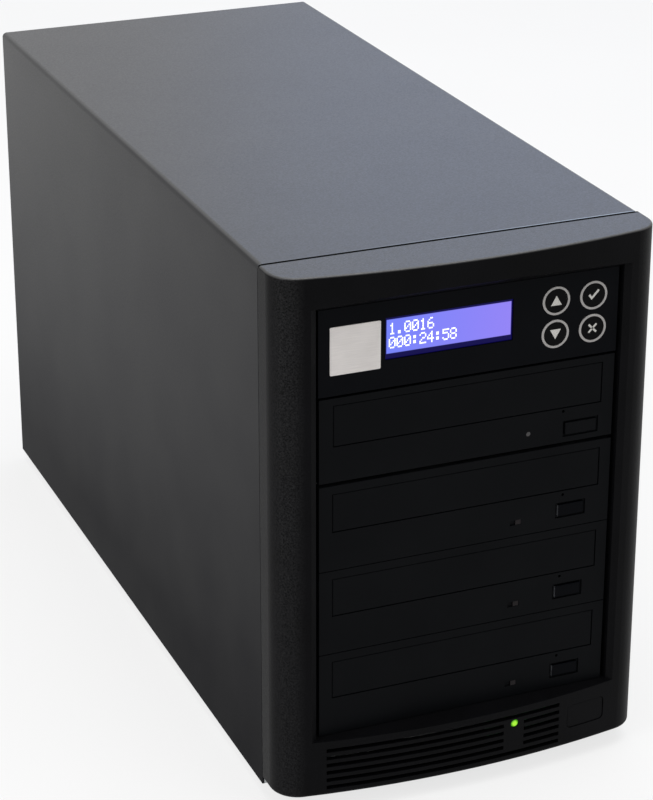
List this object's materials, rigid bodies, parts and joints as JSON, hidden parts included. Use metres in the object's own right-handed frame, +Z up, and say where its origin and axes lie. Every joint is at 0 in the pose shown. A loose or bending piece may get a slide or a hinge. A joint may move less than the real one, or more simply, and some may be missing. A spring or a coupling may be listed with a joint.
{
  "type": "disc duplicator tower",
  "caption": "Desktop disc duplicator tower: steel case with a bowed moulded front, disc drives with sliding trays, and a control panel with display and round keys.",
  "frame": {"origin": "on the surface that the tower stands on, under the middle of its bounding box", "axes": "+X to the right of someone facing the front, +Y from the front to the back, +Z up"},
  "size_m": [0.187, 0.4413, 0.267],
  "materials": {
    "cover_paint": "dark grey powder coat with fine grain",
    "bezel_abs": "black moulded ABS, spark-eroded grain",
    "front_abs": "black moulded ABS, fine matt grain",
    "panel_abs": "black moulded ABS, smooth",
    "key_abs": "black keycap plastic",
    "ring_print": "light grey printed ring",
    "badge_silver": "pale silver plate, bare",
    "lcd_blue": "blue backlit display",
    "lamp_green": "green lamp lens, lit",
    "smoke_lens": "dark lamp lens",
    "zinc_steel": "zinc coated sheet steel",
    "psu_steel": "zinc coated sheet steel",
    "rubber_black": "black rubber",
    "tray_abs": "black moulded tray plastic",
    "fan_plastic": "black glass-filled plastic",
    "pcb_green": "green solder mask",
    "screw_steel": "nickel plated steel",
    "cable_jacket": "red PVC jacket",
    "wire_jacket": "black sleeved wire",
    "loader_plastic": "black moulded frame",
    "hub_plastic": "grey moulded turntable"
  },
  "bodies": {
    "root": {"chassis_base": "zinc_steel", "front_frame": "zinc_steel", "rear_panel": "zinc_steel", "drive_cage": "zinc_steel", "cover_shell": "cover_paint", "front_bezel": "bezel_abs", "feet": "rubber_black", "control_panel": "panel_abs", "panel_bracket": "zinc_steel", "lcd_frame": "psu_steel", "lcd_glass": "lcd_blue", "panel_board": "pcb_green", "badge_plate": "badge_silver", "key_rings": "ring_print", "switch_board": "pcb_green", "power_lens": "lamp_green", "drive_lenses": "smoke_lens", "psu_housing": "psu_steel", "psu_inlet": "fan_plastic", "psu_fan_guard": "screw_steel", "psu_fan_frame": "fan_plastic", "case_fan_frame": "fan_plastic", "controller_board": "pcb_green", "back_screws": "screw_steel", "drive_screws": "screw_steel", "data_cables": "cable_jacket", "power_harness": "wire_jacket", "loader_chassis": "loader_plastic", "reader_shell": "zinc_steel", "reader_front": "front_abs", "writer_1_shell": "zinc_steel", "writer_1_front": "front_abs", "writer_2_shell": "zinc_steel", "writer_2_front": "front_abs", "writer_3_shell": "zinc_steel", "writer_3_front": "front_abs"},
    "reader_tray_body": {"reader_tray": "tray_abs", "reader_tray_front": "front_abs"},
    "writer_1_tray_body": {"writer_1_tray": "tray_abs", "writer_1_tray_front": "front_abs"},
    "writer_2_tray_body": {"writer_2_tray": "tray_abs", "writer_2_tray_front": "front_abs"},
    "writer_3_tray_body": {"writer_3_tray": "tray_abs", "writer_3_tray_front": "front_abs"},
    "reader_eject_body": {"reader_eject": "front_abs"},
    "writer_1_eject_body": {"writer_1_eject": "front_abs"},
    "writer_2_eject_body": {"writer_2_eject": "front_abs"},
    "writer_3_eject_body": {"writer_3_eject": "front_abs"},
    "key_up_body": {"key_up": "key_abs"},
    "key_ok_body": {"key_ok": "key_abs"},
    "key_down_body": {"key_down": "key_abs"},
    "key_esc_body": {"key_esc": "key_abs"},
    "power_button_body": {"power_button": "bezel_abs"},
    "psu_rocker_body": {"psu_rocker": "fan_plastic"},
    "psu_fan_rotor_body": {"psu_fan_rotor": "fan_plastic"},
    "case_fan_rotor_body": {"case_fan_rotor": "fan_plastic"},
    "reader_spindle_body": {"reader_spindle": "hub_plastic"},
    "writer_1_spindle_body": {"writer_1_spindle": "hub_plastic"},
    "writer_2_spindle_body": {"writer_2_spindle": "hub_plastic"},
    "writer_3_spindle_body": {"writer_3_spindle": "hub_plastic"}
  },
  "joints": [
    {"name": "reader_tray_slide", "type": "slide", "parent": "root", "child": "reader_tray_body", "axis": [0, -1, 0], "range_m": [0, 0.135]},
    {"name": "writer_1_tray_slide", "type": "slide", "parent": "root", "child": "writer_1_tray_body", "axis": [0, -1, 0], "range_m": [0, 0.135]},
    {"name": "writer_2_tray_slide", "type": "slide", "parent": "root", "child": "writer_2_tray_body", "axis": [0, -1, 0], "range_m": [0, 0.135]},
    {"name": "writer_3_tray_slide", "type": "slide", "parent": "root", "child": "writer_3_tray_body", "axis": [0, -1, 0], "range_m": [0, 0.135]},
    {"name": "reader_eject_press", "type": "slide", "parent": "root", "child": "reader_eject_body", "axis": [0, 1, 0], "range_m": [0, 0.0008], "stiffness_N_per_m": 800},
    {"name": "writer_1_eject_press", "type": "slide", "parent": "root", "child": "writer_1_eject_body", "axis": [0, 1, 0], "range_m": [0, 0.0008], "stiffness_N_per_m": 800},
    {"name": "writer_2_eject_press", "type": "slide", "parent": "root", "child": "writer_2_eject_body", "axis": [0, 1, 0], "range_m": [0, 0.0008], "stiffness_N_per_m": 800},
    {"name": "writer_3_eject_press", "type": "slide", "parent": "root", "child": "writer_3_eject_body", "axis": [0, 1, 0], "range_m": [0, 0.0008], "stiffness_N_per_m": 800},
    {"name": "key_up_press", "type": "slide", "parent": "root", "child": "key_up_body", "axis": [0, 1, 0], "range_m": [0, 0.0006], "stiffness_N_per_m": 1500},
    {"name": "key_ok_press", "type": "slide", "parent": "root", "child": "key_ok_body", "axis": [0, 1, 0], "range_m": [0, 0.0006], "stiffness_N_per_m": 1500},
    {"name": "key_down_press", "type": "slide", "parent": "root", "child": "key_down_body", "axis": [0, 1, 0], "range_m": [0, 0.0006], "stiffness_N_per_m": 1500},
    {"name": "key_esc_press", "type": "slide", "parent": "root", "child": "key_esc_body", "axis": [0, 1, 0], "range_m": [0, 0.0006], "stiffness_N_per_m": 1500},
    {"name": "power_press", "type": "slide", "parent": "root", "child": "power_button_body", "axis": [0, 1, 0], "range_m": [0, 0.0012], "stiffness_N_per_m": 900},
    {"name": "psu_rocker_tilt", "type": "hinge", "parent": "root", "child": "psu_rocker_body", "pos_m": [-0.044, 0.21365, 0.201], "axis": [1, 0, 0], "range_deg": [-18, 0]},
    {"name": "psu_fan_spin", "type": "hinge", "parent": "root", "child": "psu_fan_rotor_body", "pos_m": [0.023, 0.20315, 0.22], "axis": [0, 1, 0], "continuous": true},
    {"name": "case_fan_spin", "type": "hinge", "parent": "root", "child": "case_fan_rotor_body", "pos_m": [0, 0.20415, 0.102], "axis": [0, 1, 0], "continuous": true},
    {"name": "reader_spindle_spin", "type": "hinge", "parent": "root", "child": "reader_spindle_body", "pos_m": [0, -0.14075, 0.1803], "axis": [0, 0, 1], "continuous": true},
    {"name": "writer_1_spindle_spin", "type": "hinge", "parent": "root", "child": "writer_1_spindle_body", "pos_m": [0, -0.14075, 0.1379], "axis": [0, 0, 1], "continuous": true},
    {"name": "writer_2_spindle_spin", "type": "hinge", "parent": "root", "child": "writer_2_spindle_body", "pos_m": [0, -0.14075, 0.0955], "axis": [0, 0, 1], "continuous": true},
    {"name": "writer_3_spindle_spin", "type": "hinge", "parent": "root", "child": "writer_3_spindle_body", "pos_m": [0, -0.14075, 0.0531], "axis": [0, 0, 1], "continuous": true}
  ]
}
